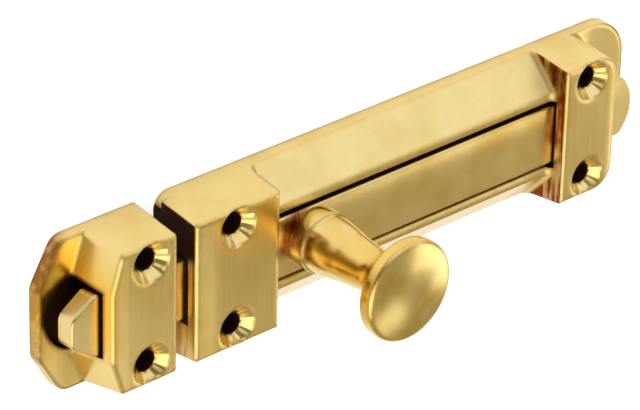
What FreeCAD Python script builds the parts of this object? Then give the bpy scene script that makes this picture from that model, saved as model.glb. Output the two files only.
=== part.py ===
import FreeCAD, Part
import math
import os

from FreeCAD import Vector

# A heavy cast brass door bolt lying on its back.
# X runs along the bar towards its tail, Y runs across, and Z points out of the door towards the hand.
# The origin is the centre of the four body screw holes, on the back face. All sizes are millimetres.

# Body casting
body_length = 141.15
plate_width = 38.0
plate_thickness = 2.7
bracket_height = 14.3
side_draft = 7.2
lead_bracket_length = 24.1
tail_bracket_length = 16.6
tail_plate_length = 13.3
lead_plate_corner = 4.0
tail_plate_corner = 10.0
tail_bracket_corner = 5.5
front_edge_round = 0.8
cast_corner_extra = 0.2

# Screw holes, for 5 mm countersunk wood screws
screw_spacing_across = 25.2
screw_hole_diameter = 5.2
countersink_diameter = 10.0
countersink_angle = 90.0

# Flat bar
bar_width = 15.2
bar_thickness = 4.5
bar_setback = 3.5
bar_tip_reach = 31.2
bar_tail_reach = 9.0
tip_flat_width = 6.8
tip_taper_length = 6.2
tip_corner_round = 3.0
tail_bow = 3.6
tail_corner_round = 1.5
bar_edge_round = 0.6

# Clearances between the bar and what it runs in
bar_side_clearance = 0.4
bar_face_clearance = 0.15
keep_roof_clearance = 0.8
rail_gap = 1.1

# Rails beside the bar
rail_below_bar_face = 0.6
rail_lip_width = 1.85
rail_end_fillet = 2.0

# Pull knob, heights measured up from the bar's face
knob_from_lead_bracket = 12.7
knob_base_margin = 0.3
knob_base_height = 4.5
knob_base_step = 0.1
knob_base_round = 0.3
lower_flare_middle_radius = 6.55
lower_flare_middle_height = 8.6
lower_flare_top_radius = 5.85
lower_flare_top_height = 12.7
waist_radius = 5.1
waist_height = 19.8
upper_flare_middle_radius = 7.0
upper_flare_middle_height = 25.7
cap_radius = 12.0
cap_underside_height = 28.4
cap_rim_thickness = 3.2
cap_back_round = 0.6
cap_face_round = 1.0
cap_dome_height = 1.4

# Stud that holds the knob on the bar and stands out behind it as the stop
spigot_diameter = 8.0
spigot_length = 1.4
spigot_clearance = 0.05
stud_diameter = 5.0
stud_clearance = 0.05
stud_into_knob = 9.0
stud_hole_spare = 1.0
stud_stands_out = 1.4
stud_chamfer = 0.5

# Groove in the channel's floor that the stud's end runs in
drawn_travel = 34.0
groove_side_clearance = 0.4
groove_end_clearance = 0.2
groove_under_stud = 0.4

# Bow spring under the bar and the rivet that holds one end of it
spring_centre_x = 27.0
spring_length = 30.0
spring_width = 6.0
spring_thickness = 0.5
spring_foot_length = 5.0
spring_pocket_depth = 2.6
spring_pocket_margin = 1.0
spring_crown_gap = 0.1
rivet_diameter = 2.4
rivet_head_diameter = 4.4
rivet_head_height = 0.7
rivet_clearance = 0.03

# Keep, the casting on the frame that takes the tip of the bar
keep_gap = 4.9
keep_block_length = 20.0
keep_screw_setback = 7.3
keep_clip_along = 3.0
keep_clip_across = 9.0
keep_flange_length = 9.1
keep_flange_clip_along = 6.0
keep_flange_clip_across = 10.5
keep_flange_corner = 4.0
keep_floor = 1.0
keep_pocket_reach = 6.9

# Places that follow from the sizes above
brackets_apart = body_length - lead_bracket_length - tail_bracket_length - tail_plate_length
screw_row_spacing = brackets_apart + (lead_bracket_length + tail_bracket_length) / 2
lead_bracket_x0 = -screw_row_spacing / 2 - lead_bracket_length / 2
lead_bracket_x1 = lead_bracket_x0 + lead_bracket_length
tail_bracket_x0 = screw_row_spacing / 2 - tail_bracket_length / 2
tail_bracket_x1 = tail_bracket_x0 + tail_bracket_length
plate_x1 = tail_bracket_x1 + tail_plate_length
bar_face_z = bracket_height - bar_setback
bar_back_z = bar_face_z - bar_thickness
channel_floor_z = bar_back_z - bar_face_clearance
channel_roof_z = bar_face_z + bar_face_clearance
channel_half_width = bar_width / 2 + bar_side_clearance
rail_channel_half_width = bar_width / 2 + rail_gap
rail_lip_z = bar_face_z - rail_below_bar_face
keep_roof_z = bar_face_z + keep_roof_clearance
bar_x0 = lead_bracket_x0 - bar_tip_reach
bar_x1 = tail_bracket_x1 + bar_tail_reach
knob_x = lead_bracket_x1 + knob_from_lead_bracket
keep_x1 = lead_bracket_x0 - keep_gap
keep_x0 = keep_x1 - keep_block_length
keep_screw_x = keep_x1 - keep_screw_setback
knob_base_radius = bar_width / 2 - knob_base_margin
knob_base_gap = knob_from_lead_bracket - knob_base_radius
cast_corner = front_edge_round + cast_corner_extra
draft_slope = math.tan(math.radians(side_draft))

# Two points this close are one point
same_point = 0.0001


def half_width_at(z):
    """Half the width of the drafted castings at height z."""
    return plate_width / 2 - z * draft_slope


def standing_edge_at(solid, corner, z0, z1):
    """The edge that rises from z0 to z1 and ends above in the (x, y) of the corner."""
    for edge in solid.Edges:
        low, high = sorted((vertex.Point for vertex in edge.Vertexes), key=lambda point: point.z)
        rises = abs(low.z - z0) < same_point and abs(high.z - z1) < same_point
        if rises and abs(high.x - corner[0]) < same_point and abs(high.y - corner[1]) < same_point:
            return edge
    raise ValueError(f"no standing edge at {corner}")


def drafted_block(corners_at, z0, z1):
    """A solid between the outlines at two heights. Each (x, y, radius) corner gets its own radius."""
    wires = []
    for z in (z0, z1):
        points = [Vector(x, y, z) for x, y, radius in corners_at(z)]
        wires.append(Part.makePolygon(points + points[:1]))
    solid = Part.makeLoft(wires, True, True)
    corners = corners_at(z1)
    for radius in sorted({corner[2] for corner in corners if corner[2] > 0}, reverse=True):
        edges = [standing_edge_at(solid, corner, z0, z1) for corner in corners if corner[2] == radius]
        solid = solid.makeFillet(radius, edges)
    return solid


def along_x(section, x0, x1):
    """A closed (y, z) polygon drawn out along X."""
    points = [Vector(x0, y, z) for y, z in section]
    face = Part.Face(Part.makePolygon(points + points[:1]))
    return face.extrude(Vector(x1 - x0, 0, 0))


def rounded_at_height(solid, z, radius):
    """The solid with every edge that lies at height z rounded."""
    level = [edge for edge in solid.Edges if edge.BoundBox.ZLength < same_point]
    edges = [edge for edge in level if abs(edge.BoundBox.ZMin - z) < same_point]
    return solid.makeFillet(radius, edges)


def countersunk_hole(x, y):
    """The cutter for one screw hole through a casting, sunk into its front."""
    hole_radius = screw_hole_diameter / 2
    rim_radius = countersink_diameter / 2
    slope = math.tan(math.radians(countersink_angle / 2))
    depth = (rim_radius - hole_radius) / slope
    over = plate_thickness
    bore = Part.makeCylinder(hole_radius, bracket_height + 2 * over, Vector(x, y, -over))
    cone_base = Vector(x, y, bracket_height - depth)
    cone = Part.makeCone(hole_radius, rim_radius + over * slope, depth + over, cone_base)
    return bore.fuse(cone)


def screw_holes(x):
    """The pair of screw holes on the row at x."""
    holes = [countersunk_hole(x, side * screw_spacing_across / 2) for side in (1, -1)]
    return Part.makeCompound(holes)


def centred_box(x0, x1, half_width, z0, z1):
    """A box centred across the part."""
    return Part.makeBox(x1 - x0, 2 * half_width, z1 - z0, Vector(x0, -half_width, z0))


def plate_corners(z):
    """The back plate's outline at height z."""
    half = half_width_at(z)
    return [
        (lead_bracket_x0, -half, lead_plate_corner),
        (plate_x1, -half, tail_plate_corner),
        (plate_x1, half, tail_plate_corner),
        (lead_bracket_x0, half, lead_plate_corner),
    ]


def lead_bracket_corners(z):
    """The outline of the guide bracket beside the keep, sharp where the rails start."""
    half = half_width_at(z)
    return [
        (lead_bracket_x0, -half, cast_corner),
        (lead_bracket_x1, -half, 0),
        (lead_bracket_x1, half, 0),
        (lead_bracket_x0, half, cast_corner),
    ]


def tail_bracket_corners(z):
    """The outline of the guide bracket at the tail, sharp at the rails and rounded at its outer end."""
    half = half_width_at(z)
    return [
        (tail_bracket_x0, -half, 0),
        (tail_bracket_x1, -half, tail_bracket_corner),
        (tail_bracket_x1, half, tail_bracket_corner),
        (tail_bracket_x0, half, 0),
    ]


def rail_space_corners(z):
    """The outline of the space between the brackets."""
    half = half_width_at(z)
    x0 = lead_bracket_x1
    x1 = tail_bracket_x0
    return [(x0, -half, 0), (x1, -half, 0), (x1, half, 0), (x0, half, 0)]


def is_rail_end(edge):
    """Whether the edge lies where a rail meets the inner face of a bracket."""
    box = edge.BoundBox
    distances = [abs(box.XMin - x) for x in (lead_bracket_x1, tail_bracket_x0)]
    in_a_face = box.XLength < same_point and min(distances) < same_point
    return in_a_face and plate_thickness + same_point < box.ZMax < rail_lip_z + same_point


def rails():
    """Both rails and the floor between them, with fillets into the brackets' inner faces."""
    foot = half_width_at(plate_thickness)
    lip_outside = rail_channel_half_width + rail_lip_width
    section = [
        (-foot, plate_thickness),
        (foot, plate_thickness),
        (lip_outside, rail_lip_z),
        (-lip_outside, rail_lip_z),
    ]
    solid = along_x(section, lead_bracket_x1, tail_bracket_x0)
    # Two walls as long as the plate is wide stand in for the brackets while the fillets are made
    wall_top_z = plate_thickness + plate_width
    for x0 in (lead_bracket_x1 - plate_width, tail_bracket_x0):
        wall = centred_box(x0, x0 + plate_width, plate_width, plate_thickness, wall_top_z)
        solid = solid.fuse(wall)
    solid = solid.removeSplitter()
    solid = solid.makeFillet(rail_end_fillet, [edge for edge in solid.Edges if is_rail_end(edge)])
    return solid.common(drafted_block(rail_space_corners, plate_thickness, bracket_height))


def bar_channel():
    """What the bar runs through: a close channel in the brackets, a wider one between the rails."""
    close = centred_box(bar_x0, bar_x1, channel_half_width, channel_floor_z, channel_roof_z)
    x0 = lead_bracket_x1
    x1 = tail_bracket_x0
    wide = centred_box(x0, x1, rail_channel_half_width, channel_floor_z, bracket_height)
    return close.fuse(wide)


def spring_pocket():
    """The pocket in the channel's floor that the bow spring lies in."""
    half_length = spring_length / 2 + spring_pocket_margin
    half_width = spring_width / 2 + spring_pocket_margin
    floor_z = channel_floor_z - spring_pocket_depth
    x0 = spring_centre_x - half_length
    x1 = spring_centre_x + half_length
    return centred_box(x0, x1, half_width, floor_z, channel_roof_z)


def stop_groove():
    """The round-ended groove for the stud. Its lead end lies just past the stud when the knob stops."""
    half_width = stud_diameter / 2 + groove_side_clearance
    end_clearance = groove_end_clearance - groove_side_clearance
    x0 = knob_x - knob_base_gap - end_clearance
    x1 = knob_x + drawn_travel + end_clearance
    z0 = bar_back_z - stud_stands_out - groove_under_stud
    groove = centred_box(x0, x1, half_width, z0, channel_roof_z)
    ends = [Part.makeCylinder(half_width, channel_roof_z - z0, Vector(x, 0, z0)) for x in (x0, x1)]
    return groove.fuse(ends)


def rivet_x():
    """Where the rivet stands, in the middle of the spring's foot towards the tail."""
    return spring_centre_x + spring_length / 2 - spring_foot_length / 2


def body_casting():
    """Back plate, two guide brackets and two rails, cast in one piece."""
    plate = drafted_block(plate_corners, 0, plate_thickness)
    lead = drafted_block(lead_bracket_corners, plate_thickness, bracket_height)
    tail = drafted_block(tail_bracket_corners, plate_thickness, bracket_height)
    lead = rounded_at_height(lead, bracket_height, front_edge_round)
    tail = rounded_at_height(tail, bracket_height, front_edge_round)
    body = plate.fuse([lead, tail, rails()]).removeSplitter()
    body = body.cut(bar_channel())
    body = body.cut(stop_groove())
    body = body.cut(spring_pocket())
    hole_radius = rivet_diameter / 2 + rivet_clearance
    body = body.cut(Part.makeCylinder(hole_radius, channel_roof_z, Vector(rivet_x(), 0, 0)))
    for row in (-1, 1):
        body = body.cut(screw_holes(row * screw_row_spacing / 2))
    return body


def keep_block_corners(z):
    """The keep's block, its outer end clipped at both corners and leaning with the draft."""
    half = half_width_at(z)
    end = keep_x0 + z * draft_slope
    return [
        (end, -half + keep_clip_across, cast_corner),
        (end + keep_clip_along, -half, cast_corner),
        (keep_x1, -half, cast_corner),
        (keep_x1, half, cast_corner),
        (end + keep_clip_along, half, cast_corner),
        (end, half - keep_clip_across, cast_corner),
    ]


def keep_flange_corners(z):
    """The keep's thin flange, clipped at both outer corners."""
    half = half_width_at(z)
    end = keep_x0 - keep_flange_length
    return [
        (end, -half + keep_flange_clip_across, keep_flange_corner),
        (end + keep_flange_clip_along, -half, keep_flange_corner),
        (keep_x1, -half, cast_corner),
        (keep_x1, half, cast_corner),
        (end + keep_flange_clip_along, half, keep_flange_corner),
        (end, half - keep_flange_clip_across, keep_flange_corner),
    ]


def keep_hollow():
    """The hollow for the bar's tip, wider towards the back, with a half-round outer end."""
    roof_half = channel_half_width
    floor_half = roof_half + (keep_roof_z - keep_floor) * draft_slope
    flange_half = roof_half + (keep_roof_z - plate_thickness) * draft_slope
    centre_x = keep_x0 - keep_pocket_reach + flange_half
    section = [
        (-floor_half, keep_floor),
        (floor_half, keep_floor),
        (roof_half, keep_roof_z),
        (-roof_half, keep_roof_z),
    ]
    tunnel = along_x(section, centre_x, keep_x1 + keep_gap)
    height = keep_roof_z - keep_floor
    nose = Part.makeCone(floor_half, roof_half, height, Vector(centre_x, 0, keep_floor))
    return tunnel.fuse(nose)


def keep_casting():
    """Keep block and flange in one piece, with the hollow and two screw holes."""
    flange = drafted_block(keep_flange_corners, 0, plate_thickness)
    block = drafted_block(keep_block_corners, plate_thickness, bracket_height)
    block = rounded_at_height(block, bracket_height, front_edge_round)
    keep = flange.fuse(block).removeSplitter()
    keep = keep.cut(keep_hollow())
    return keep.cut(screw_holes(keep_screw_x))


def bar_blank():
    """The flat bar: blunt tapered tip towards the keep, bowed tail, rounded front edges."""
    half = bar_width / 2
    shoulder_x = bar_x0 + tip_taper_length
    bow_end_x = bar_x1 - tail_bow
    corners = [
        (shoulder_x, -half, tip_corner_round),
        (bow_end_x, -half, 0),
        (bow_end_x, half, 0),
        (shoulder_x, half, tip_corner_round),
        (bar_x0, tip_flat_width / 2, tip_corner_round),
        (bar_x0, -tip_flat_width / 2, tip_corner_round),
    ]
    straight = drafted_block(lambda z: corners, bar_back_z, bar_face_z)
    bow_radius = (half * half + tail_bow * tail_bow) / (2 * tail_bow)
    bow = Part.makeCylinder(bow_radius, bar_thickness, Vector(bar_x1 - bow_radius, 0, bar_back_z))
    bow = bow.common(centred_box(knob_x, bar_x1, half, bar_back_z, bar_face_z))
    bar = straight.fuse(bow).removeSplitter()
    tail_corners = [(bow_end_x, side * half) for side in (1, -1)]
    tail_edges = [standing_edge_at(bar, corner, bar_back_z, bar_face_z) for corner in tail_corners]
    bar = bar.makeFillet(tail_corner_round, tail_edges)
    return rounded_at_height(bar, bar_face_z, bar_edge_round)


def upright_cylinder(diameter, z0, z1):
    """A cylinder on the knob's axis."""
    return Part.makeCylinder(diameter / 2, z1 - z0, Vector(knob_x, 0, z0))


def bolt_bar():
    """The bar with the knob's spigot seat in front and the stud's hole through it."""
    seat_diameter = spigot_diameter + 2 * spigot_clearance
    seat = upright_cylinder(seat_diameter, bar_face_z - spigot_length, bar_face_z)
    hole = upright_cylinder(stud_diameter + 2 * stud_clearance, bar_back_z, bar_face_z)
    return bar_blank().cut(seat).cut(hole)


def at_height(radius, height):
    """A point of the knob's profile, its height counted from the bar's face."""
    return Vector(knob_x + radius, 0, bar_face_z + height)


def arc_through(start, middle, end):
    """The arc from start to end by way of middle."""
    return Part.Arc(start, middle, end).toShape()


def dome_arc(edge_radius, edge_height):
    """The cap's domed face from its edge to the axis."""
    dome_radius = (edge_radius**2 + cap_dome_height**2) / (2 * cap_dome_height)
    top = edge_height + cap_dome_height
    half_angle = math.asin(edge_radius / dome_radius) / 2
    middle_radius = dome_radius * math.sin(half_angle)
    middle_height = top - dome_radius * (1 - math.cos(half_angle))
    middle = at_height(middle_radius, middle_height)
    return arc_through(at_height(edge_radius, edge_height), middle, at_height(0, top))


def knob_profile():
    """Half of the knob's outline with sharp edges, closed on the axis."""
    cap_top = cap_underside_height + cap_rim_thickness
    foot = at_height(0, 0)
    base_low = at_height(knob_base_radius, 0)
    base_high = at_height(knob_base_radius, knob_base_height)
    step_radius = knob_base_radius - knob_base_round - knob_base_step
    lower_flare = at_height(step_radius, knob_base_height)
    lower_flare_middle = at_height(lower_flare_middle_radius, lower_flare_middle_height)
    lower_flare_top = at_height(lower_flare_top_radius, lower_flare_top_height)
    waist = at_height(waist_radius, waist_height)
    upper_flare_middle = at_height(upper_flare_middle_radius, upper_flare_middle_height)
    rim_low = at_height(cap_radius, cap_underside_height)
    rim_high = at_height(cap_radius, cap_top)
    edges = [
        Part.makeLine(foot, base_low),
        Part.makeLine(base_low, base_high),
        Part.makeLine(base_high, lower_flare),
        arc_through(lower_flare, lower_flare_middle, lower_flare_top),
        Part.makeLine(lower_flare_top, waist),
        arc_through(waist, upper_flare_middle, rim_low),
        Part.makeLine(rim_low, rim_high),
        dome_arc(cap_radius, cap_top),
        Part.makeLine(at_height(0, cap_top + cap_dome_height), foot),
    ]
    return Part.Wire(edges)


def rounded_ring(solid, radius, height, round_radius):
    """The turned solid with its ring edge of that radius and height above the bar's face rounded."""
    for edge in solid.Edges:
        level = edge.BoundBox.ZLength < same_point
        right_height = abs(edge.BoundBox.ZMin - bar_face_z - height) < same_point
        if level and right_height and abs(edge.Length - 2 * math.pi * radius) < same_point:
            return solid.makeFillet(round_radius, [edge])
    raise ValueError(f"no ring edge of radius {radius} at height {height}")


def pull_knob():
    """The turned knob with its spigot, drilled from behind for its stud."""
    face = Part.Face(knob_profile())
    turned = face.revolve(Vector(knob_x, 0, 0), Vector(0, 0, 1), 360)
    turned = rounded_ring(turned, knob_base_radius, knob_base_height, knob_base_round)
    turned = rounded_ring(turned, cap_radius, cap_underside_height, cap_back_round)
    turned = rounded_ring(turned, cap_radius, cap_underside_height + cap_rim_thickness, cap_face_round)
    spigot = upright_cylinder(spigot_diameter, bar_face_z - spigot_length, bar_face_z)
    hole_top = bar_face_z + stud_into_knob + stud_hole_spare
    hole = upright_cylinder(stud_diameter + 2 * stud_clearance, bar_back_z, hole_top)
    return turned.fuse(spigot).removeSplitter().cut(hole)


def knob_stud():
    """The stud screwed into the knob and through the bar, chamfered at both ends."""
    z0 = bar_back_z - stud_stands_out
    z1 = bar_face_z + stud_into_knob
    stud = upright_cylinder(stud_diameter, z0, z1)
    rings = [edge for edge in stud.Edges if edge.BoundBox.ZLength < same_point]
    return stud.makeChamfer(stud_chamfer, rings)


def spring_side(lift):
    """The five points along one side of the bowed strip, lifted by that much."""
    foot_z = channel_floor_z - spring_pocket_depth + lift
    crown_z = bar_back_z - spring_crown_gap - spring_thickness + lift
    half = spring_length / 2
    foot_end = half - spring_foot_length
    return [
        Vector(spring_centre_x - half, 0, foot_z),
        Vector(spring_centre_x - foot_end, 0, foot_z),
        Vector(spring_centre_x, 0, crown_z),
        Vector(spring_centre_x + foot_end, 0, foot_z),
        Vector(spring_centre_x + half, 0, foot_z),
    ]


def friction_spring():
    """A bowed strip of spring bronze with two flat feet. Its crown rubs on the back of the bar."""
    low = spring_side(0)
    high = spring_side(spring_thickness)
    edges = [
        Part.makeLine(low[0], low[1]),
        arc_through(low[1], low[2], low[3]),
        Part.makeLine(low[3], low[4]),
        Part.makeLine(low[4], high[4]),
        Part.makeLine(high[4], high[3]),
        arc_through(high[3], high[2], high[1]),
        Part.makeLine(high[1], high[0]),
        Part.makeLine(high[0], low[0]),
    ]
    face = Part.Face(Part.Wire(edges))
    strip = face.extrude(Vector(0, spring_width, 0))
    strip.translate(Vector(0, -spring_width / 2, 0))
    hole_radius = rivet_diameter / 2 + rivet_clearance
    return strip.cut(Part.makeCylinder(hole_radius, bracket_height, Vector(rivet_x(), 0, 0)))


def spring_rivet():
    """The rivet through the spring's foot and the floor of its pocket."""
    head_z = channel_floor_z - spring_pocket_depth + spring_thickness
    shank = Part.makeCylinder(rivet_diameter / 2, head_z, Vector(rivet_x(), 0, 0))
    head = Part.makeCylinder(rivet_head_diameter / 2, rivet_head_height, Vector(rivet_x(), 0, head_z))
    return shank.fuse(head)


def export(node, shape):
    """Writes one node and prints what it measures."""
    box = shape.optimalBoundingBox()
    size = f"{box.XLength:.2f} x {box.YLength:.2f} x {box.ZLength:.2f} mm"
    print(f"{node}: {len(shape.Solids)} solid, valid {shape.isValid()}, {size}, {shape.Volume:.1f} mm3")
    shape.exportStep(os.path.join("parts", node + ".step"))


def main():
    os.makedirs("parts", exist_ok=True)
    export("body_casting", body_casting())
    export("keep_casting", keep_casting())
    export("bolt_bar", bolt_bar())
    export("pull_knob", pull_knob())
    export("knob_stud", knob_stud())
    export("friction_spring", friction_spring())
    export("spring_rivet", spring_rivet())


main()
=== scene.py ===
# %% [markdown]
# A heavy cast brass door bolt
#
# The bolt lies on its back on a white table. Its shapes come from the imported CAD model, so this script gives
# it what the CAD model has not: brass that looks cast, linished, drawn or turned, the light of a small photo
# studio, and the camera. Polished brass has hardly any colour of its own in the dark. What the eye reads as
# gold is the studio seen in the metal, so the lights matter as much as the materials.

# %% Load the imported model
import bmesh
import bpy
import math
from mathutils import Matrix, Vector

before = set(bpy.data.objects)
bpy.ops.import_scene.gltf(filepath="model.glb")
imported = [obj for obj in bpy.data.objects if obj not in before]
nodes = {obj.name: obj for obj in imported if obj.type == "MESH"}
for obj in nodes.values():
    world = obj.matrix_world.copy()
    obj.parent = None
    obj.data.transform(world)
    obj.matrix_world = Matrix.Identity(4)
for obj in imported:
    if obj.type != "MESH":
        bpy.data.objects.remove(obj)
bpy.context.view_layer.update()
print("CAD nodes:", sorted(nodes))

# %% [markdown]
# Colours and nodes
#
# Colours are easiest to pick as the hex codes that a picture shows, but Blender mixes light in linear
# values, so one function turns one into the other. A second function adds any shader node with its settings
# and its links. A node tree could also be drawn by hand in the editor, but in code each finish reads from
# top to bottom.

# %% Helpers for colours and nodes
MM = 0.001
SMOOTH = {"interpolation_type": "SMOOTHSTEP"}
MIX = {"data_type": "RGBA"}


def linear(hex_code):
    """The linear colour of an sRGB hex code."""
    values = [int(hex_code[i:i + 2], 16) / 255 for i in (1, 3, 5)]
    return tuple(v / 12.92 if v <= 0.04045 else ((v + 0.055) / 1.055) ** 2.4 for v in values) + (1.0,)


def add(tree, kind, inputs=(), **settings):
    """Adds a node. Its inputs are values, or earlier nodes and sockets to link."""
    node = tree.nodes.new("ShaderNode" + kind)
    for name, value in settings.items():
        setattr(node, name, value)
    for key, value in inputs.items() if isinstance(inputs, dict) else enumerate(inputs):
        if isinstance(value, bpy.types.Node):
            value = value.outputs[0]
        if isinstance(value, bpy.types.NodeSocket):
            tree.links.new(value, node.inputs[key])
        else:
            node.inputs[key].default_value = value
    return node


print("Brass yellow in linear values:", [round(v, 3) for v in linear("#F5D98E")])

# %% [markdown]
# Screw holes
#
# The six countersunk holes are drilled after casting. Their bores are painted dark, a painted shade in the
# holes. The countersink is cut by a hand-fed tool that chatters, and its cone comes out in facets. The facets
# could be modelled, but a wave in the surface that runs round the hole gives the same flashes of light.
#
# The painted shade of a bore is a mask: a value that is 1 in its own place and 0 elsewhere. A mask could be
# painted as a picture, but a few sums on the place of a point are exact and need no file. Where a mask fades,
# a Map Range node does it, and its four numbers have a name: where it starts, where it ends, and its value at
# both.

# %% The marks of a screw hole
HOLE_Y = 12.6 * MM
HOLE_RADIUS = 2.6 * MM
SINK_RADIUS = 5.0 * MM
BORE_SHADE_EDGE = (HOLE_RADIUS + 0.02 * MM, HOLE_RADIUS + 0.15 * MM, 1.0, 0.0)
SINK_RIM = (SINK_RADIUS - 0.3 * MM, SINK_RADIUS, 1.0, 0.0)
SINK_FOOT = (HOLE_RADIUS, HOLE_RADIUS + 0.4 * MM, 0.0, 1.0)
CHATTER_WAVES = 9.0
CHATTER_DEPTH = 0.08 * MM


def offset_from(tree, x, y, centre_x, centre_y):
    """How far the point lies from an upright line, and the two sides of that offset."""
    dx = add(tree, "Math", (x, centre_x), operation="SUBTRACT")
    dy = add(tree, "Math", (y, centre_y), operation="SUBTRACT")
    offset = add(tree, "CombineXYZ", (dx, dy, 0.0))
    return add(tree, "VectorMath", (offset,), operation="LENGTH").outputs["Value"], dx, dy


def where_all(tree, *masks):
    """The mask of the place that lies in every one of these masks."""
    both = masks[0]
    for mask in masks[1:]:
        both = add(tree, "Math", (both, mask), operation="MULTIPLY")
    return both


def screw_hole_marks(tree, x, y, hole_x):
    """The painted shade in the nearest screw hole's bore, and the chatter on its cone."""
    radius, dx, dy = offset_from(tree, x, y, hole_x, HOLE_Y)
    # The dark of the bore is painted shade.
    bore_shade = add(tree, "MapRange", (radius, *BORE_SHADE_EDGE), **SMOOTH)
    angle = add(tree, "Math", (dy, dx), operation="ARCTAN2")
    turned = add(tree, "Math", (angle, CHATTER_WAVES), operation="MULTIPLY")
    chatter = add(tree, "Math", (turned,), operation="SINE")
    inside_rim = add(tree, "MapRange", (radius, *SINK_RIM), **SMOOTH)
    outside_bore = add(tree, "MapRange", (radius, *SINK_FOOT), **SMOOTH)
    return bore_shade, where_all(tree, chatter, inside_rim, outside_bore)


print("Countersink from", 2 * HOLE_RADIUS / MM, "to", 2 * SINK_RADIUS / MM, "mm across")

# %% [markdown]
# Brushed lines
#
# Linishing and drawing leave fine parallel scratches. They could be cut as grooves in the mesh, but that
# would take millions of faces, so they are noise that is stretched a long way in one direction. The real
# scratches are about 0.05 mm apart, finer than a pixel here, so they are drawn 0.3 mm apart.

# %% Helper for brushed lines
LINE_SPACING = 0.3 * MM
LINE_LENGTH = 18.0 * MM
ALONG_X, ALONG_Y, ALONG_Z = 0, 1, 2


def brushed(tree, point, along, spacing=LINE_SPACING, length=LINE_LENGTH):
    """Noise drawn out along X or Y into scratches of a given spacing and length."""
    scale = [1 / spacing] * 3
    scale[along] = 1 / length
    stretched = add(tree, "Mapping", {"Vector": point, "Scale": scale})
    return add(tree, "TexNoise", {"Vector": stretched, "Scale": 1.0, "Detail": 3.0, "Roughness": 0.6})


print("Brushed lines every", LINE_SPACING / MM, "mm")

# %% [markdown]
# Painted shade on the body
#
# The body is painted dark where shade falls or where a face mirrors shade: the upper half of the face that
# looks at the keep, which mirrors the keep's shaded end, the upper half of the bar's channel, a deep gap, and
# a lip over each slot, under the shadow of the slot's roof. Upper means towards +Y, as the camera sees it.
# Each patch could be cut out of the mesh and take a metal of its own. A mask that follows from the place of a
# point and from the way its face looks leaves the mesh whole, and it can fade out softly.

# %% The body's painted shade
LEAD_FACE_X = -65.8 * MM
TAIL_FACE_X = 45.45 * MM
TAIL_END_X = 61.9 * MM
FACE_MARGIN = 0.3 * MM
GAP_SHADE_EDGE = (6.0 * MM, 9.0 * MM, 0.0, 1.0)
CHANNEL_HALF_WIDTH = 8.75 * MM
CHANNEL_SHADE_TOP = 9.4 * MM
CHANNEL_SHADE_EDGE = (-2.0 * MM, 2.0 * MM, 0.0, CHANNEL_SHADE_TOP)
SLOT_FLOOR = 6.0 * MM
LEAD_SHADOW_TOP = 11.9 * MM
TAIL_SHADOW_TOP = 11.35 * MM
SHADOW_TOPS = (LEAD_FACE_X, TAIL_FACE_X, LEAD_SHADOW_TOP, TAIL_SHADOW_TOP)
SLOT_SHADOW_DEPTH = 1.0 * MM
BACK_OF_PART = 0.1 * MM


def where_any(tree, *masks):
    """The mask of the place that lies in one mask or another."""
    either = masks[0]
    for mask in masks[1:]:
        either = add(tree, "Math", (either, mask), operation="MAXIMUM")
    return either


def body_painted_shade(tree, x, y, z, looks_along):
    """Painted shade beside the keep, in the bar's channel and over its slots."""
    # Painted shade: the face towards the keep mirrors its shaded end, the channel is a deep gap, and each
    # slot's roof shades its lip.
    on_lead_face = add(tree, "Math", (x, LEAD_FACE_X + FACE_MARGIN), operation="LESS_THAN")
    upper_half = add(tree, "MapRange", (y, *GAP_SHADE_EDGE), **SMOOTH)
    gap_shade = where_all(tree, looks_along, on_lead_face, upper_half)
    from_middle = add(tree, "Math", (y,), operation="ABSOLUTE")
    between_walls = add(tree, "Math", (from_middle, CHANNEL_HALF_WIDTH), operation="LESS_THAN")
    shade_top = add(tree, "MapRange", (y, *CHANNEL_SHADE_EDGE), **SMOOTH)
    below_top = add(tree, "Math", (z, shade_top), operation="LESS_THAN")
    before_end = add(tree, "Math", (x, TAIL_END_X), operation="LESS_THAN")
    off_back = add(tree, "Math", (z, BACK_OF_PART), operation="GREATER_THAN")
    channel_shade = where_all(tree, between_walls, below_top, before_end, off_back)
    above_floor = add(tree, "Math", (z, SLOT_FLOOR), operation="GREATER_THAN")
    shadow_top = add(tree, "MapRange", (x, *SHADOW_TOPS))
    near_slot = add(tree, "Math", (z, shadow_top), operation="LESS_THAN")
    at_lead = add(tree, "Math", (x, LEAD_FACE_X, SLOT_SHADOW_DEPTH), operation="COMPARE")
    at_tail = add(tree, "Math", (x, TAIL_FACE_X, SLOT_SHADOW_DEPTH), operation="COMPARE")
    slot_shadow = where_all(tree, where_any(tree, at_lead, at_tail), between_walls, above_floor, near_slot)
    return where_any(tree, gap_shade, channel_shade, slot_shadow)


# The channel's dark is painted shade.
print("Channel skin up to", CHANNEL_SHADE_TOP / MM, "mm above the back")

# %% [markdown]
# Tarnish on the body
#
# The end faces of the brackets carry brown streaks, partly tarnish and partly a painted reflection of the
# shaded parts they face, least on the open face beside the keep. Plain noise would give round spots, so the
# streaks are brushed noise that runs across the part. Next to the tail bracket the belt stops short of the
# corner, which leaves the slope duller there.

# %% The body's marks
LOOKS_ALONG_EDGE = (0.75, 0.95, 0.0, 1.0)
STREAK_SPACING = 1.8 * MM
STREAK_LENGTH = 14.0 * MM
STREAK_EDGE = (0.40, 0.58)
BROWN_STREAKS = (*STREAK_EDGE, 0.45, 1.0)
OPEN_FACE_EDGE = (LEAD_FACE_X + 4 * MM, LEAD_FACE_X + 8 * MM, 0.7, 1.0)
DULL_CORNER_EDGE = (2 * MM, 11 * MM, 1.0, 0.0)


def facing(tree, axis):
    """How squarely the face looks along an axis, 0 to 1."""
    normal = add(tree, "NewGeometry").outputs["True Normal"]
    return add(tree, "Math", (add(tree, "SeparateXYZ", (normal,)).outputs[axis],), operation="ABSOLUTE")


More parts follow.
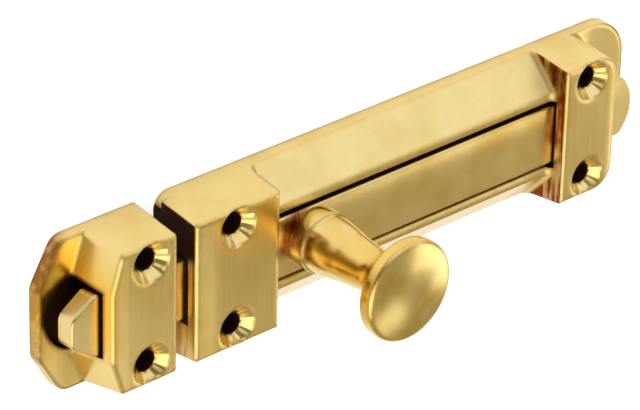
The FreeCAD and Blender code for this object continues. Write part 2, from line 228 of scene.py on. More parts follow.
def body_marks(tree, x, y, z, point):
    """Masks of the body's painted shade, its brown streaks of tarnish and painted reflection, and its dull
    corner.
    """
    looks_along = add(tree, "MapRange", (facing(tree, ALONG_X), *LOOKS_ALONG_EDGE), **SMOOTH)
    before_tail = add(tree, "Math", (x, TAIL_FACE_X + FACE_MARGIN), operation="LESS_THAN")
    streaks = brushed(tree, point, ALONG_Y, STREAK_SPACING, STREAK_LENGTH)
    streaked = add(tree, "MapRange", (streaks, *BROWN_STREAKS), **SMOOTH)
    off_open_face = add(tree, "MapRange", (x, *OPEN_FACE_EDGE), **SMOOTH)
    # Brown streaks: partly tarnish, partly a painted reflection of the shaded parts these faces look at.
    tarnish_and_shade = where_all(tree, streaked, looks_along, before_tail, off_open_face)
    to_tail = add(tree, "Math", (TAIL_FACE_X, x), operation="SUBTRACT")
    near_tail = add(tree, "MapRange", (to_tail, *DULL_CORNER_EDGE), **SMOOTH)
    return body_painted_shade(tree, x, y, z, looks_along), tarnish_and_shade, where_all(tree, near_tail, before_tail)


print("Tarnish streaks every", STREAK_SPACING / MM, "mm")

# %% [markdown]
# Painted shade, painted reflection and tarnish on the keep
#
# The keep's hollow is painted dark inside, a painted shade, where it was left as cast. Round its mouth the
# brass is painted amber, a painted reflection, and brown at the very edge, a painted shade. The thin rim of
# the flange is brown and spotty too, with tarnish, most at its clipped upper corner. With straight walls, the
# distance from the middle of the hollow would be enough. These walls lean out towards the back, so the sums
# find the wall at each height first, and then how far a point lies outside it.

# %% The wall of the keep's hollow
HOLLOW_ROOF = 11.6 * MM
HOLLOW_HALF_WIDTH = 8.0 * MM
HOLLOW_END_X = -88.48 * MM
HOLLOW_DRAFT = math.tan(math.radians(7.2))
WALL_MARGIN = 0.1 * MM


def hollow_reach(tree, x, y, z):
    """How far the point lies from the hollow's middle line, and where the wall is at its height."""
    past_end = add(tree, "Math", (x, HOLLOW_END_X), operation="SUBTRACT")
    past_end = add(tree, "Math", (past_end, 0.0), operation="MINIMUM")
    offset = add(tree, "CombineXYZ", (past_end, y, 0.0))
    reach = add(tree, "VectorMath", (offset,), operation="LENGTH").outputs["Value"]
    depth = add(tree, "Math", (HOLLOW_ROOF, z), operation="SUBTRACT")
    roof_wall = HOLLOW_HALF_WIDTH + WALL_MARGIN
    return reach, add(tree, "Math", (depth, HOLLOW_DRAFT, roof_wall), operation="MULTIPLY_ADD")


print("Hollow", 2 * HOLLOW_HALF_WIDTH / MM, "mm wide under its roof")

# %% The rim of the keep's flange
KEEP_END_X = -99.8 * MM
FLANGE_TOP = 3.0 * MM
CLIP_DIRECTION = (-0.868, 0.496, 0.0)
CLIP_DISTANCE = 90.84 * MM
CLIP_STAIN_EDGE = (CLIP_DISTANCE - 3.2 * MM, CLIP_DISTANCE, 0.0, 0.8)
END_STAIN_EDGE = (KEEP_END_X + 0.3 * MM, KEEP_END_X + 2.0 * MM, 0.55, 0.0)
SPOT_SIZE = 3.0 * MM
SPOT_EDGE = (0.35, 0.60, 0.55, 1.0)


def flange_rim(tree, x, z, point):
    """The spotty brown rim of the keep's flange."""
    to_clip = add(tree, "VectorMath", (point, CLIP_DIRECTION), operation="DOT_PRODUCT").outputs["Value"]
    at_clip = add(tree, "MapRange", (to_clip, *CLIP_STAIN_EDGE), **SMOOTH)
    at_end = add(tree, "MapRange", (x, *END_STAIN_EDGE), **SMOOTH)
    on_flange = add(tree, "Math", (z, FLANGE_TOP), operation="LESS_THAN")
    spots = add(tree, "TexNoise", {"Vector": point, "Scale": 1 / SPOT_SIZE, "Detail": 2.0})
    spotty = add(tree, "MapRange", (spots, *SPOT_EDGE), **SMOOTH)
    return where_all(tree, where_any(tree, at_clip, at_end), on_flange, spotty)


print("Flange rim brown up to", FLANGE_TOP / MM, "mm above the back")

# %% The keep's marks
KEEP_FACE_X = -90.7 * MM
KEEP_FACE_EDGE = (KEEP_FACE_X + 0.5 * MM, KEEP_FACE_X + 6 * MM, 1.0, 0.0)
UPPER_SIDE_EDGE = (-14 * MM, 6 * MM, 0.15, 1.0)
AMBER_REFLECTION_EDGE = (0.0, 12 * MM, 0.9, 0.0)
MOUTH_SHADE_EDGE = (0.0, 1.6 * MM, 0.5, 0.0)


def keep_marks(tree, x, y, z, point):
    """Masks of the keep's painted shade, its rim tarnish with painted shade at the mouth's edge, and its
    painted amber reflection.
    """
    reach, wall = hollow_reach(tree, x, y, z)
    inside = add(tree, "Math", (reach, wall), operation="LESS_THAN")
    below_roof = add(tree, "Math", (z, HOLLOW_ROOF + WALL_MARGIN), operation="LESS_THAN")
    off_back = add(tree, "Math", (z, BACK_OF_PART), operation="GREATER_THAN")
    from_wall = add(tree, "Math", (reach, wall), operation="SUBTRACT")
    above_roof = add(tree, "Math", (z, HOLLOW_ROOF), operation="SUBTRACT")
    from_mouth = where_any(tree, from_wall, above_roof)
    at_face = add(tree, "MapRange", (x, *KEEP_FACE_EDGE), **SMOOTH)
    upper_side = add(tree, "MapRange", (y, *UPPER_SIDE_EDGE), **SMOOTH)
    # Amber round the mouth is a painted reflection, and brown at its very edge is painted shade.
    near_mouth = add(tree, "MapRange", (from_mouth, *AMBER_REFLECTION_EDGE), **SMOOTH)
    mouth_shade = add(tree, "MapRange", (from_mouth, *MOUTH_SHADE_EDGE), **SMOOTH)
    # The hollow's dark is painted shade.
    painted_shade = where_all(tree, inside, below_roof, off_back)
    rim_tarnish_and_mouth_shade = where_any(tree, where_all(tree, mouth_shade, at_face, upper_side), flange_rim(tree, x, z, point))
    return painted_shade, rim_tarnish_and_mouth_shade, where_all(tree, near_mouth, at_face, upper_side)


print("Keep's face at", KEEP_FACE_X / MM, "mm along the part")

# %% [markdown]
# Soft edges and belt lines
#
# Hours on a buffing wheel round every edge of a casting and leave its flats slightly wavy, and that is where
# most of its bright lines come from. Real fillets this soft would change the size of the part, so the light
# is bent instead: the Bevel node rolls the edges, and three bumps add the belt lines, the wave of a part
# that was held by hand, and the chatter of the countersinks. The wave also falls away at the castings' ends,
# where the wheel bites most, and it rises into the corner at the tail bracket, where the wheel can't reach.

# %% Buffed ends and the corner at the tail bracket
END_FALL_REACH = 7.0 * MM
END_FALL_EDGE = (-END_FALL_REACH, END_FALL_REACH, 0.0, 1.0)
TAIL_FALL_REACH = 3.0 * MM
TAIL_FALL_SHARE = 0.25
TAIL_FALL_EDGE = (-TAIL_FALL_REACH, TAIL_FALL_REACH, 0.0, TAIL_FALL_SHARE)
CORNER_REACH = 9.0 * MM
CORNER_EDGE = (CORNER_REACH, 0.0, 0.0, 1.0)
CORNER_CURVE = 2.0
CORNER_RISE_SHARE = 1.33


def end_fall(tree, x, is_body):
    """The height, as a share, that buffing takes off at the ends and leaves in the corner."""
    from_end = add(tree, "Math", (x, LEAD_FACE_X if is_body else KEEP_FACE_X), operation="SUBTRACT")
    height = add(tree, "MapRange", (from_end, *END_FALL_EDGE), **SMOOTH)
    if is_body:
        to_end = add(tree, "Math", (TAIL_END_X, x), operation="SUBTRACT")
        at_tail = add(tree, "MapRange", (to_end, *TAIL_FALL_EDGE), **SMOOTH)
        height = add(tree, "Math", (height, at_tail), operation="ADD")
        to_corner = add(tree, "Math", (TAIL_FACE_X, x), operation="SUBTRACT")
        into_corner = add(tree, "MapRange", (to_corner, *CORNER_EDGE))
        hollowed = add(tree, "Math", (into_corner, CORNER_CURVE), operation="POWER")
        height = add(tree, "Math", (hollowed, CORNER_RISE_SHARE, height), operation="MULTIPLY_ADD")
    return height


print("Ends fall over", 2 * END_FALL_REACH / MM, "mm")

# %% The worked surface of a casting
EDGE_ROLL = 1.6 * MM
ROLL_SAMPLES = 6
BELT_DEPTH = 0.010 * MM
BELT_STRENGTH = 0.35
HAND_WAVE = 0.035 * MM
HAND_WAVE_LENGTH = 14.0 * MM
END_FALL = 0.9 * MM


def worked_surface(tree, x, point, lines, chatter, is_body):
    """The bent normals of a casting that was linished, buffed and countersunk by hand."""
    hand = add(tree, "TexNoise", {"Vector": point, "Scale": 1 / HAND_WAVE_LENGTH, "Detail": 0.0})
    wave = add(tree, "Math", (hand, HAND_WAVE), operation="MULTIPLY")
    wave = add(tree, "Math", (end_fall(tree, x, is_body), END_FALL, wave), operation="MULTIPLY_ADD")
    rolled = add(tree, "Bevel", {"Radius": EDGE_ROLL}, samples=ROLL_SAMPLES)
    belt = {"Strength": BELT_STRENGTH, "Distance": BELT_DEPTH, "Height": lines, "Normal": rolled}
    belt = add(tree, "Bump", belt)
    buffed = add(tree, "Bump", {"Strength": 1.0, "Distance": 1.0, "Height": wave, "Normal": belt})
    cut = {"Strength": 1.0, "Distance": CHATTER_DEPTH, "Height": chatter, "Normal": buffed}
    return add(tree, "Bump", cut)


print("Edges look rolled by", EDGE_ROLL / MM, "mm")

# %% [markdown]
# Linished cast brass
#
# The body and the keep are sand-cast yellow brass. Their faces were linished on a belt, buffed and
# lacquered, so they mirror the studio softly, under a thin clear coat. Where the painted shade or the brown
# streaks show, there is no lacquer and less shine. One function makes both metals, because only the places of
# their marks differ. Its colour goes on in layers: clean brass in soft patches, the wide strokes of the belt
# on the front, about a millimetre apart, then the marks: painted amber reflection, brown tarnish mixed with
# painted shade and reflection, and dark painted shade. One flat colour for each face would be simpler, but
# real brass never looks so even.

# %% The colour of cast brass
BRASS = linear("#F5D98E")
BRASS_DEEP = linear("#EECF7C")
BRASS_WORKED = linear("#E0BC62")
# Amber for painted reflection.
PAINTED_AMBER = linear("#F6C643")
# Brown for tarnish, and for the painted shade and painted reflection laid with it.
TARNISH_AND_SHADE_BROWN = linear("#8A3A0C")
# Near-black brown for painted shade.
PAINTED_SHADE_BROWN = linear("#2A170C")
PATCH_EDGE = (0.35, 0.75, 0.0, 1.0)
WIDE_LINE_SPACING = 1.1 * MM
WIDE_LINE_LENGTH = 26.0 * MM
WIDE_LINE_EDGE = (0.40, 0.62, 0.0, 0.16)
FRONT_EDGE = (0.6, 0.9, 0.0, 1.0)
# A Mix node's sockets for its factor, the two colours and the mixed one
FACTOR, UNDER, OVER, MIXED = 0, 6, 7, 2


def layered(tree, colour, *layers):
    """A colour with tints laid over it, each one where its mask is."""
    for mask, tint in layers:
        colour = add(tree, "Mix", {FACTOR: mask, UNDER: colour, OVER: tint}, **MIX).outputs[MIXED]
    return colour


def cast_colour(tree, point, patches, painted_amber, tarnish_and_shade, painted_shade):
    """Brass in soft patches, with the wide belt lines of its front, its tarnish, and its painted shade and
    reflections.
    """
    wide_lines = brushed(tree, point, ALONG_Y, WIDE_LINE_SPACING, WIDE_LINE_LENGTH)
    wide_lines = add(tree, "MapRange", (wide_lines, *WIDE_LINE_EDGE), **SMOOTH)
    on_front = add(tree, "MapRange", (facing(tree, ALONG_Z), *FRONT_EDGE), **SMOOTH)
    worked = where_all(tree, wide_lines, on_front)
    patched = add(tree, "MapRange", (patches, *PATCH_EDGE), **SMOOTH)
    clean = layered(tree, BRASS, (patched, BRASS_DEEP), (worked, BRASS_WORKED))
    return layered(tree, clean, (painted_amber, PAINTED_AMBER), (tarnish_and_shade, TARNISH_AND_SHADE_BROWN), (painted_shade, PAINTED_SHADE_BROWN))


print("Wide belt lines every", WIDE_LINE_SPACING / MM, "mm")

# %% Helpers for a metal, its lacquer and its gloss
CLEAR = (1.0, 1.0, 1.0, 1.0)
LACQUER = 0.3
LACQUER_COAT = {"Coat Weight": LACQUER, "Coat Roughness": 0.12, "Coat IOR": 1.5}


def new_material(name):
    """An empty material, its node tree, and the place of a point on the part."""
    material = bpy.data.materials.new(name)
    material.use_nodes = True
    tree = material.node_tree
    tree.nodes.clear()
    point = add(tree, "TexCoord").outputs["Object"]
    return material, tree, point, add(tree, "SeparateXYZ", (point,)).outputs


def dulled(tree, polished, *marks):
    """The roughness of polished metal, with what each mark adds to it."""
    total = polished
    for mark, more in marks:
        total = add(tree, "Math", (mark, more, total), operation="MULTIPLY_ADD")
    return total


print("Lacquer weight:", LACQUER)

# %% Linished cast brass for the two castings
BODY_HOLE_X = 53.75 * MM
KEEP_HOLE_X = -78.0 * MM
# Sheen and metal of the painted shade.
SHADE_SPECULAR_TINT = linear("#E0A070")
SHADE_METAL_LOSS = 0.75
PATCH_SIZE = 9.0 * MM
LONG_SIDE_EDGE = (0.5, 0.8, 0.0, 1.0)
CAST_POLISH = 0.17
# What each mark adds to the roughness
LINES_ADD = 0.10
PATCHES_ADD = 0.03
SHADE_ADDS = 0.35
TARNISH_ADDS = 0.20


def linished_cast_brass(name, is_body):
    """Cast brass with belt lines, tarnish, painted shade and reflections, and chatter in its countersinks."""
    material, tree, point, (x, y, z) = new_material(name)
    side_x = add(tree, "Math", (x,), operation="ABSOLUTE") if is_body else x
    side_y = add(tree, "Math", (y,), operation="ABSOLUTE")
    bore_shade, chatter = screw_hole_marks(tree, side_x, side_y, BODY_HOLE_X if is_body else KEEP_HOLE_X)
    painted_amber = corner = 0.0
    if is_body:
        painted_shade, tarnish_and_shade, corner = body_marks(tree, x, y, z, point)
    else:
        painted_shade, tarnish_and_shade, painted_amber = keep_marks(tree, x, y, z, point)
    # Painted shade in the bores, on the body and in the keep's hollow.
    painted_shade = where_any(tree, bore_shade, painted_shade)
    on_long_side = add(tree, "MapRange", (facing(tree, ALONG_Y), *LONG_SIDE_EDGE), **SMOOTH)
    lines_across, lines_along = brushed(tree, point, ALONG_Y), brushed(tree, point, ALONG_X)
    lines = add(tree, "Mix", {"Factor": on_long_side, "A": lines_across, "B": lines_along})
    patches = add(tree, "TexNoise", {"Vector": point, "Scale": 1 / PATCH_SIZE, "Detail": 2.0})
    dull = where_any(tree, tarnish_and_shade, corner)
    bare = where_any(tree, painted_shade, tarnish_and_shade)
    marks = ((lines, LINES_ADD), (patches, PATCHES_ADD), (painted_shade, SHADE_ADDS), (dull, TARNISH_ADDS))
    shader = add(tree, "BsdfPrincipled", {
        "Base Color": cast_colour(tree, point, patches, painted_amber, tarnish_and_shade, painted_shade),
        "Metallic": add(tree, "Math", (painted_shade, -SHADE_METAL_LOSS, 1.0), operation="MULTIPLY_ADD"),
        "Roughness": dulled(tree, CAST_POLISH, *marks),
        "Specular Tint": layered(tree, CLEAR, (painted_shade, SHADE_SPECULAR_TINT)),
        "Normal": worked_surface(tree, x, point, lines, chatter, is_body),
        **LACQUER_COAT,
        "Coat Weight": add(tree, "Math", (bare, -LACQUER, LACQUER), operation="MULTIPLY_ADD"),
    })
    add(tree, "OutputMaterial", {"Surface": shader})
    return material


body_brass = linished_cast_brass("linished_cast_brass_body", True)
keep_brass = linished_cast_brass("linished_cast_brass_keep", False)
print("Cast brass:", body_brass.name, "and", keep_brass.name)

# %% [markdown]
# Drawn brass bar
#
# The bar is cold-drawn flat stock. Its face was linished across by hand, so it is a little duller than the
# castings, and its narrow sides carry the draw lines along the bar. Hand linishing leaves the face slightly
# crowned towards its upper edge, which catches light. The crown could be modelled, but it is less than half
# a millimetre high, and a bump bends the light in the same way. The sawn and filed ends are duller, the tip
# is painted paler, a painted highlight, and red-brown polish is left at the foot of the knob, where no wheel
# gets in. The stain goes with the bar when it slides, because a mask follows the piece's own coordinates.

# %% The stain at the knob's foot
KNOB_X = -29.0 * MM
ROUND_KNOB_EDGE = (8 * MM, 12 * MM, 1.0, 0.0)
BEFORE_KNOB_EDGE = (-5 * MM, 1 * MM, 1.0, 0.0)
STAIN_SIDE_EDGE = (-4 * MM, 0.0, 0.0, 1.0)
STAIN_STREAK_SPACING = 1.2 * MM
STAIN_STREAK_LENGTH = 12.0 * MM
STAIN_STREAKS = (*STREAK_EDGE, 0.75, 1.0)


def polish_stain(tree, x, y, point):
    """The streaky red-brown polish on the keep's side of the knob's foot."""
    from_knob, dx, _ = offset_from(tree, x, y, KNOB_X, 0.0)
    round_knob = add(tree, "MapRange", (from_knob, *ROUND_KNOB_EDGE), **SMOOTH)
    before_knob = add(tree, "MapRange", (dx, *BEFORE_KNOB_EDGE), **SMOOTH)
    upper_half = add(tree, "MapRange", (y, *STAIN_SIDE_EDGE), **SMOOTH)
    streaks = brushed(tree, point, ALONG_Y, STAIN_STREAK_SPACING, STAIN_STREAK_LENGTH)
    streaks = add(tree, "MapRange", (streaks, *STAIN_STREAKS), **SMOOTH)
    return where_all(tree, round_knob, before_knob, upper_half, streaks)


print("Knob stands at", KNOB_X / MM, "mm along the part")

# %% The crown of the bar's face
BAR_HALF_WIDTH = 7.6 * MM
BAR_CROWN = 0.40 * MM
CROWN_CURVE = 3.0


def bar_crown(tree, y):
    """The height of the crowned face: flat to the middle, then falling to the upper edge."""
    share = add(tree, "Math", (y, BAR_HALF_WIDTH), operation="DIVIDE")
    share = add(tree, "Math", (share, 0.0), operation="MAXIMUM")
    fall = add(tree, "Math", (share, CROWN_CURVE), operation="POWER")
    return add(tree, "Math", (1.0, fall), operation="SUBTRACT")


print("Crown looks", BAR_CROWN / MM, "mm high")

# %% Drawn brass for the bar
BAR_BRASS = linear("#EBD088")
BAR_BRASS_DEEP = linear("#DDBB68")
POLISH_STAIN = linear("#80280A")
# Pale brass for the painted highlight at the tip.
TIP_HIGHLIGHT_BRASS = linear("#F8E0A0")
BAR_TIP_X = -97.0 * MM
BAR_TAIL_X = 71.0 * MM
BAR_TIP_EDGE = (BAR_TIP_X + 4 * MM, BAR_TIP_X + 8 * MM, 1.0, 0.0)
BAR_TAIL_EDGE = (BAR_TAIL_X - 8 * MM, BAR_TAIL_X - 2 * MM, 0.0, 1.0)
SQUARE_EDGE = (0.9, 0.99, 0.0, 1.0)
BAR_PATCH_SIZE = 12.0 * MM
TIP_HIGHLIGHT_SHARE = 0.8
FAINT_BUMP = 0.08
BAR_LINE_DEPTH = 0.012 * MM
BAR_POLISH = 0.24
BAR_LINES_ADD = 0.03
TIP_ADDS = 0.06
TAIL_ADDS = 0.18


def drawn_brass_bar():
    """Satin drawn brass with lines across its face, a painted highlight at its tip and a stain before the
    knob.
    """
    material, tree, point, (x, y, _) = new_material("satin_drawn_brass")
    on_face = add(tree, "MapRange", (facing(tree, ALONG_Z), *SQUARE_EDGE), **SMOOTH)
    on_side = add(tree, "MapRange", (facing(tree, ALONG_Y), *SQUARE_EDGE), **SMOOTH)
    lines_across = where_all(tree, on_face, brushed(tree, point, ALONG_Y))
    lines_along = where_all(tree, on_side, brushed(tree, point, ALONG_X))
    lines = add(tree, "Math", (lines_across, lines_along), operation="ADD")
    patches = add(tree, "TexNoise", {"Vector": point, "Scale": 1 / BAR_PATCH_SIZE, "Detail": 2.0})
    patched = add(tree, "MapRange", (patches, *PATCH_EDGE), **SMOOTH)
    at_tip = add(tree, "MapRange", (x, *BAR_TIP_EDGE), **SMOOTH)
    at_tail = add(tree, "MapRange", (x, *BAR_TAIL_EDGE), **SMOOTH)
    # A painted highlight: the tip is painted paler.
    tip_highlight = where_all(tree, at_tip, TIP_HIGHLIGHT_SHARE)
    stained = polish_stain(tree, x, y, point)
    colour = layered(tree, BAR_BRASS, (patched, BAR_BRASS_DEEP), (stained, POLISH_STAIN), (tip_highlight, TIP_HIGHLIGHT_BRASS))
    belt = add(tree, "Bump", {"Strength": FAINT_BUMP, "Distance": BAR_LINE_DEPTH, "Height": lines})
    crown = {"Strength": 1.0, "Distance": BAR_CROWN, "Height": bar_crown(tree, y), "Normal": belt}
    marks = ((lines, BAR_LINES_ADD), (at_tip, TIP_ADDS), (at_tail, TAIL_ADDS))
    shader = add(tree, "BsdfPrincipled", {
        "Base Color": colour,
        "Metallic": 1.0,
        "Roughness": dulled(tree, BAR_POLISH, *marks),
        "Normal": add(tree, "Bump", crown),
        **LACQUER_COAT,
    })
    add(tree, "OutputMaterial", {"Surface": shader})
    return material


bar_brass = drawn_brass_bar()
print("Bar:", bar_brass.name)

# %% [markdown]
# Turned brass knob
#
# The knob came off a lathe and was polished while it spun, so what scratches it has run round its axis.
# Noise that depends only on the distance from the axis and on the height gives such rings, where rings cut
# in the mesh would be too coarse. Real ones are about 0.1 mm apart, too fine to show here, so they are drawn
# 0.35 mm apart. The waist and the back of the cap are painted a deeper yellow, a painted shade under the cap,
# and amber on one side, a painted shade as well.

# %% The knob's painted shade
KNOB_BRASS = linear("#F4DA8E")
KNOB_BRASS_DEEP = linear("#E8C468")
# Painted shade on the neck and on one side of the knob.
NECK_SHADE_YELLOW = linear("#EFC65A")
NECK_SHADE_AMBER = linear("#C99A34")
NECK_LOW = 18.0 * MM
NECK_HIGH = 34.0 * MM
NECK_EDGE = (NECK_LOW, NECK_HIGH, 0.0, 1.0)
NECK_SHADE_SHARE = 0.6
DOME_EDGE = 42.3 * MM
UNDER_DOME_EDGE = (DOME_EDGE - 0.4 * MM, DOME_EDGE + 0.3 * MM, 1.0, 0.0)
FOOT_EDGE = (NECK_LOW - 3 * MM, NECK_LOW + 5 * MM, 0.0, 1.0)
SHADED_SIDE = (-0.985, 0.174, 0.0)
SHADED_SIDE_EDGE = (0.78, 0.97, 0.0, 0.8)


def knob_colour(tree, radius, dx, dy, z, patches):
    """Bright brass in soft patches, with painted shade that turns it yellow up the neck and amber on one side.
    """
    patched = add(tree, "MapRange", (patches, *PATCH_EDGE), **SMOOTH)
    below_dome = add(tree, "MapRange", (z, *UNDER_DOME_EDGE), **SMOOTH)
    up_the_neck = add(tree, "MapRange", (z, *NECK_EDGE), **SMOOTH)
    # Painted shade: deeper yellow up the neck and under the cap, amber on one side.
    neck_shade = where_all(tree, up_the_neck, below_dome, NECK_SHADE_SHARE)
    offset = add(tree, "CombineXYZ", (dx, dy, 0.0))
    towards = add(tree, "VectorMath", (offset, SHADED_SIDE), operation="DOT_PRODUCT").outputs["Value"]
    on_shaded_side = add(tree, "Math", (towards, radius), operation="DIVIDE")
    on_shaded_side = add(tree, "MapRange", (on_shaded_side, *SHADED_SIDE_EDGE), **SMOOTH)
    off_foot = add(tree, "MapRange", (z, *FOOT_EDGE), **SMOOTH)
    painted_amber = where_all(tree, on_shaded_side, off_foot, below_dome)
    return layered(tree, KNOB_BRASS, (patched, KNOB_BRASS_DEEP), (neck_shade, NECK_SHADE_YELLOW), (painted_amber, NECK_SHADE_AMBER))


print("Neck turns yellow from", NECK_LOW / MM, "to", NECK_HIGH / MM, "mm above the back")

# %% Turned and polished brass for the knob
RING_SPACING = 0.35 * MM
RING_DEPTH = 0.008 * MM
RINGS_ADD = 0.05
RIM_ROLL = 1.5 * MM
KNOB_PATCH_SIZE = 7.0 * MM
SATIN_DOME = (DOME_EDGE - 1.2 * MM, DOME_EDGE, 0.17, 0.20)


def turned_brass_knob():
    """Bright turned brass with faint rings round the knob's axis."""
    material, tree, point, (x, y, z) = new_material("polished_turned_brass")
    radius, dx, dy = offset_from(tree, x, y, KNOB_X, 0.0)
    ring_point = add(tree, "CombineXYZ", (radius, z, 0.0))
    rings = add(tree, "TexNoise", {"Vector": ring_point, "Scale": 1 / RING_SPACING, "Detail": 2.0})
    patches = add(tree, "TexNoise", {"Vector": point, "Scale": 1 / KNOB_PATCH_SIZE, "Detail": 2.0})
    satin = add(tree, "MapRange", (z, *SATIN_DOME), **SMOOTH)
    rolled = add(tree, "Bevel", {"Radius": RIM_ROLL}, samples=ROLL_SAMPLES)
    lathe = {"Strength": FAINT_BUMP, "Distance": RING_DEPTH, "Height": rings, "Normal": rolled}
    shader = add(tree, "BsdfPrincipled", {
        "Base Color": knob_colour(tree, radius, dx, dy, z, patches),
        "Metallic": 1.0,
        "Roughness": dulled(tree, satin, (rings, RINGS_ADD)),
        "Normal": add(tree, "Bump", lathe),
        **LACQUER_COAT,
    })
    add(tree, "OutputMaterial", {"Surface": shader})
    return material


knob_brass = turned_brass_knob()
print("Knob:", knob_brass.name)

# %% [markdown]
# Small metal behind the bar
#
# Three small pieces sit behind the bar: the zinc plated steel stud, the bow spring of rolled phosphor bronze
# and its brass rivet. Only the rivet's end shows, on the back of the body, until the bolt is taken apart.
# They could share one plain metal, but each gets its own, with a fine grain, because even a hidden piece may
# be looked at by itself. The grain of the real metals is finer than a pixel, so it is drawn 0.6 to 0.8 mm
# wide.

# %% Stud, spring and rivet metals
GRAIN_ADDS = 0.15
GRAIN_STRENGTH = 0.2
GRAIN_DEPTH = 0.01 * MM


def plain_metal(name, light, dark, polish, grain):
    """A bare metal with a fine grain in its colour, gloss and surface."""
    material, tree, point, _ = new_material(name)
    noise = add(tree, "TexNoise", {"Vector": point, "Scale": 1 / grain, "Detail": 4.0})
    shader = add(tree, "BsdfPrincipled", {
        "Base Color": layered(tree, linear(light), (noise, linear(dark))),
        "Metallic": 1.0,
        "Roughness": dulled(tree, polish, (noise, GRAIN_ADDS)),
        "Normal": add(tree, "Bump", {"Strength": GRAIN_STRENGTH, "Distance": GRAIN_DEPTH, "Height": noise}),
    })
    add(tree, "OutputMaterial", {"Surface": shader})
    return material


stud_steel = plain_metal("zinc_plated_steel", "#C9CBC8", "#A9AAA5", polish=0.25, grain=0.6 * MM)
spring_bronze = plain_metal("rolled_phosphor_bronze", "#D59A66", "#B87A48", polish=0.22, grain=0.8 * MM)
rivet_brass = plain_metal("hammered_rivet_brass", "#D9BB6C", "#BE9A4E", polish=0.30, grain=0.7 * MM)
print("Small metals:", stud_steel.name, spring_bronze.name, rivet_brass.name)

# %% [markdown]
# Who wears what
#
# Each CAD piece is a mesh of its own, so it could take several materials, one for each face. Here every
# piece is one metal with its marks inside the material, and so one slot is enough.

# %% Give each node its metal
METALS = {
    "body_casting": body_brass,
    "keep_casting": keep_brass,
    "bolt_bar": bar_brass,
    "pull_knob": knob_brass,
    "knob_stud": stud_steel,
    "friction_spring": spring_bronze,
    "spring_rivet": rivet_brass,
}
for node_name, metal in METALS.items():
    mesh = nodes[node_name].data
    mesh.materials.clear()
    mesh.materials.append(metal)
    print(f"{node_name}: {metal.name}, {len(mesh.polygons)} faces")

# %% [markdown]
# The table
#
# A plain white table takes the bolt's shadow. A real table under soft light would come out grey, and more
# light would bleach the brass, so the table gives a little light of its own. Only the camera, polished metal
# and glass see that light. What lights the bolt from the table is left as it is.

# %% The table's paint
TABLE_WHITE = (0.86, 0.86, 0.86, 1.0)
GLOW_TO_CAMERA = 0.70
GLOW_IN_METAL = 0.39


def white_table_paint():
    """Matt white paint that looks evenly white to the camera and in polished metal."""
    material, tree, _, _ = new_material("matt_white_table_paint")
    paint = {"Base Color": TABLE_WHITE, "Roughness": 0.9, "Specular IOR Level": 0.0}
    paint = add(tree, "BsdfPrincipled", paint)
    rays = add(tree, "LightPath").outputs
    seen = where_any(tree, rays["Is Camera Ray"], rays["Is Transmission Ray"])
    seen = where_all(tree, seen, GLOW_TO_CAMERA)
    glow = add(tree, "Math", (rays["Is Glossy Ray"], GLOW_IN_METAL, seen), operation="MULTIPLY_ADD")
    own_light = add(tree, "Emission", {"Color": CLEAR, "Strength": glow})
    add(tree, "OutputMaterial", {"Surface": add(tree, "AddShader", (paint, own_light))})
    return material


table_paint = white_table_paint()
print("Table:", table_paint.name)

# %% Floor
TABLE_HALF_SIDE = 3.0
TABLE_DROP = 0.05 * MM

sheet = bmesh.new()
bmesh.ops.create_grid(sheet, x_segments=1, y_segments=1, size=TABLE_HALF_SIDE)
bmesh.ops.translate(sheet, verts=sheet.verts, vec=(0.0, 0.0, -TABLE_DROP))
table_mesh = bpy.data.meshes.new("table")
sheet.to_mesh(table_mesh)
sheet.free()
table_mesh.materials.append(table_paint)
table = bpy.data.objects.new("table", table_mesh)
bpy.context.scene.collection.objects.link(table)
print("Table side in metres:", 2 * TABLE_HALF_SIDE)

# %% [markdown]
# The room
#
# Brass shows what stands round it. In a white room it would look flat, so the metal sees a dim, warm grey
# room that is darker still where the photographer stands. A picture of a real studio could be wrapped round
# the scene, but one plain colour with a soft dark side is enough. The camera itself sees white, and so does
# glass.

# %% World
ROOM_COLOUR = (1.0, 0.88, 0.60, 1.0)
ROOM_BRIGHTNESS = 0.37
DARK_SIDE = (-0.587, 0.491, 0.644)
DARK_SHARE = 0.35
DARK_CORE = math.cos(math.radians(10))
DARK_RIM = math.cos(math.radians(32))
DARK_EDGE = (DARK_CORE, DARK_RIM, DARK_SHARE, 1.0)

world = bpy.data.worlds.new("studio_room")
world.use_nodes = True
tree = world.node_tree
tree.nodes.clear()
view = add(tree, "TexCoord").outputs["Generated"]
towards = add(tree, "VectorMath", (view, DARK_SIDE), operation="DOT_PRODUCT").outputs["Value"]
lit = add(tree, "MapRange", (towards, *DARK_EDGE), **SMOOTH)
room = add(tree, "Background", {"Color": ROOM_COLOUR, "Strength": where_all(tree, lit, ROOM_BRIGHTNESS)})
backdrop = add(tree, "Background", {"Color": CLEAR, "Strength": 1.0})
rays = add(tree, "LightPath").outputs
seen = where_any(tree, rays["Is Camera Ray"], rays["Is Transmission Ray"])
add(tree, "OutputWorld", {"Surface": add(tree, "MixShader", (seen, room, backdrop))})
bpy.context.scene.world = world
print("Room brightness:", ROOM_BRIGHTNESS)

# %% [markdown]
# The white cloths
#
# Large white cloths lit from behind give the brass its soft bright sides. A glowing sheet of mesh would do,
# but an area lamp gives the same light with less noise. Each lamp stands on a sphere round the bolt, turned
# to face it. The metal mirrors it like a cloth, and the camera doesn't see it. A cloth is given by its
# direction, its width and height in metres, how bright it looks, and its colour. A larger one gives more
# light but looks no brighter in the metal. The one above is slightly blue, like window light.

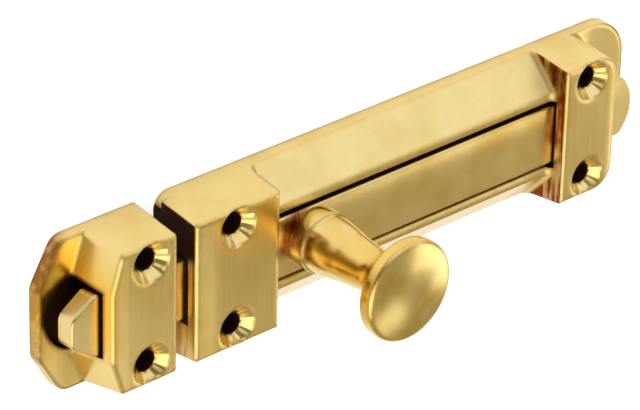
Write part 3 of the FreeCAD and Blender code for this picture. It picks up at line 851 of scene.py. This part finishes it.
# %% Lamps
LAMP_CENTRE = Vector((-0.01, 0.0, 0.01))
LAMP_DISTANCE = 2.4
WHITE = (1.0, 1.0, 1.0)
WINDOW_BLUE = (0.84, 1.0, 1.36)
CLOTHS = {
    "cloth_above": ((0.32, 0.68, 0.66), 3.8, 1.8, 0.72, WINDOW_BLUE),
    "cloth_right": ((0.76, -0.20, 0.61), 1.0, 1.0, 1.2, WHITE),
    "cloth_side": ((0.86, -0.42, 0.38), 0.75, 0.75, 1.2, WHITE),
    "cloth_left": ((-0.60, -0.36, 0.75), 2.1, 2.4, 1.4, WHITE),
    "cloth_behind": ((0.55, 0.80, 0.20), 2.6, 0.7, 0.55, WHITE),
    "cloth_front": ((0.42, -0.64, 0.67), 0.60, 0.60, 0.8, WHITE),
}
for name, (direction, width, height, brightness, colour) in CLOTHS.items():
    lamp = bpy.data.lights.new(name, "AREA")
    lamp.shape = "RECTANGLE"
    lamp.size = width
    lamp.size_y = height
    lamp.color = colour
    lamp.energy = brightness * math.pi * width * height
    cloth = bpy.data.objects.new(name, lamp)
    towards = Vector(direction).normalized()
    cloth.location = LAMP_CENTRE + towards * LAMP_DISTANCE
    cloth.rotation_euler = towards.to_track_quat("Z", "Y").to_euler()
    cloth.visible_camera = False
    bpy.context.scene.collection.objects.link(cloth)
    print(f"{name}: {lamp.energy:.1f} W")

# %% [markdown]
# The camera
#
# The picture was taken from far off with a long lens, from the keep's end and from above, and with the
# camera turned on its side. Its place and direction could be tried by eye. Here they were fitted to the six
# screw holes, whose places on the part are known, and they are given as the directions of the picture's
# right and up.

# %% Camera
PICTURE_WIDTH = 640
FOCAL_PIXELS = 4034.3
SENSOR_WIDTH = 36.0
CAMERA_PLACE = Vector((-548.2, 442.9, 583.0)) * MM
CAMERA_RIGHT = Vector((0.7475, 0.0221, 0.6639))
CAMERA_UP = Vector((0.3115, 0.8711, -0.3798))

camera_data = bpy.data.cameras.new("camera")
camera_data.sensor_width = SENSOR_WIDTH
camera_data.lens = FOCAL_PIXELS * SENSOR_WIDTH / PICTURE_WIDTH
camera_data.clip_start = 0.01
camera_data.clip_end = 20.0
camera = bpy.data.objects.new("camera", camera_data)
right = CAMERA_RIGHT.normalized()
back = right.cross(CAMERA_UP).normalized()
up = back.cross(right)
turn = Matrix((right, up, back)).transposed()
camera.matrix_world = Matrix.Translation(CAMERA_PLACE) @ turn.to_4x4()
bpy.context.scene.collection.objects.link(camera)
bpy.context.scene.camera = camera
bpy.context.scene.view_settings.view_transform = "Standard"
print("Lens in mm:", round(camera_data.lens, 1))
